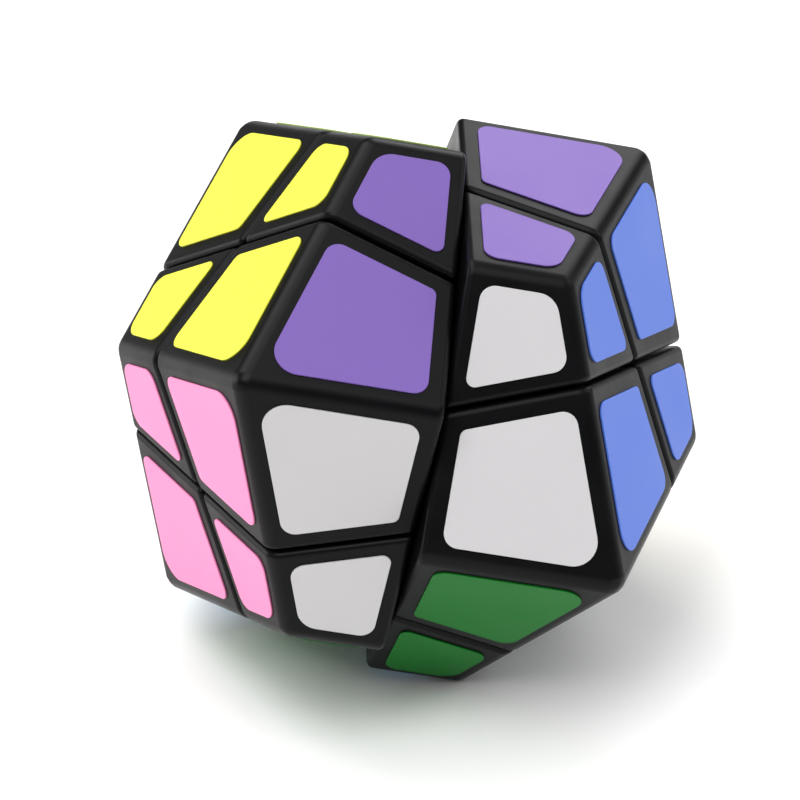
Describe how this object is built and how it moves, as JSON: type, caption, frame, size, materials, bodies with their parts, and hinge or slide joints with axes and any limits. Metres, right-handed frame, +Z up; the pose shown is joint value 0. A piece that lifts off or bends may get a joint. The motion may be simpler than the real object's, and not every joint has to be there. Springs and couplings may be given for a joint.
{
  "type": "twisty puzzle",
  "caption": "Hand puzzle in the shape of a rhombic dodecahedron with rounded edges and coloured facelets; one half turns on a screw through a central core.",
  "frame": {"origin": "on the surface that the half-turned puzzle rests on, under the middle of its bounding box", "axes": "+Z up; +X is the horizontal direction of the turned half's screw axis, which dips 14 degrees below it; +Y completes a right-handed set"},
  "size_m": [0.0704, 0.0684, 0.0692],
  "materials": {
    "black_abs": "moulded black ABS with a satin skin",
    "core_nylon": "moulded nylon, natural",
    "screw_steel": "zinc-plated steel",
    "spring_steel": "drawn spring steel wire",
    "yellow_vinyl": "satin self-adhesive vinyl, yellow",
    "pink_vinyl": "satin self-adhesive vinyl, pink",
    "orange_vinyl": "satin self-adhesive vinyl, orange",
    "purple_vinyl": "satin self-adhesive vinyl, purple",
    "white_vinyl": "satin self-adhesive vinyl, white",
    "green_vinyl": "satin self-adhesive vinyl, green",
    "red_vinyl": "satin self-adhesive vinyl, red",
    "lime_vinyl": "satin self-adhesive vinyl, lime",
    "sky_vinyl": "satin self-adhesive vinyl, sky",
    "blue_vinyl": "satin self-adhesive vinyl, blue",
    "grey_vinyl": "satin self-adhesive vinyl, grey",
    "cream_vinyl": "satin self-adhesive vinyl, cream"
  },
  "bodies": {
    "fixed_half": {"core": "core_nylon", "axle_screws": "screw_steel", "washers": "screw_steel", "springs": "spring_steel", "screw_corner_shell_2": "black_abs", "screw_corner_shell_3": "black_abs", "screw_corner_shell_4": "black_abs", "screw_corner_hub_2": "black_abs", "screw_corner_hub_3": "black_abs", "screw_corner_hub_4": "black_abs", "free_corner_shell_1": "black_abs", "free_corner_foot_1": "black_abs", "peak_shell_4": "black_abs", "peak_shell_5": "black_abs", "peak_shell_6": "black_abs", "peak_foot_4": "black_abs", "peak_foot_5": "black_abs", "peak_foot_6": "black_abs", "yellow_stickers_fixed": "yellow_vinyl", "pink_stickers_fixed": "pink_vinyl", "orange_stickers_fixed": "orange_vinyl", "purple_stickers_fixed": "purple_vinyl", "white_stickers_fixed": "white_vinyl", "green_stickers_fixed": "green_vinyl", "lime_stickers_fixed": "lime_vinyl", "red_stickers_fixed": "red_vinyl", "sky_stickers_fixed": "sky_vinyl"},
    "turned_half": {"screw_corner_shell_1": "black_abs", "screw_corner_hub_1": "black_abs", "free_corner_shell_2": "black_abs", "free_corner_shell_3": "black_abs", "free_corner_shell_4": "black_abs", "free_corner_foot_2": "black_abs", "free_corner_foot_3": "black_abs", "free_corner_foot_4": "black_abs", "peak_shell_1": "black_abs", "peak_shell_2": "black_abs", "peak_shell_3": "black_abs", "peak_foot_1": "black_abs", "peak_foot_2": "black_abs", "peak_foot_3": "black_abs", "purple_stickers_turned": "purple_vinyl", "white_stickers_turned": "white_vinyl", "green_stickers_turned": "green_vinyl", "lime_stickers_turned": "lime_vinyl", "red_stickers_turned": "red_vinyl", "sky_stickers_turned": "sky_vinyl", "blue_stickers_turned": "blue_vinyl", "grey_stickers_turned": "grey_vinyl", "cream_stickers_turned": "cream_vinyl"}
  },
  "joints": [
    {"name": "half_turn", "type": "hinge", "parent": "fixed_half", "child": "turned_half", "pos_m": [0, 0, 0.03321], "axis": [-0.9698, 0, 0.244], "continuous": true}
  ]
}
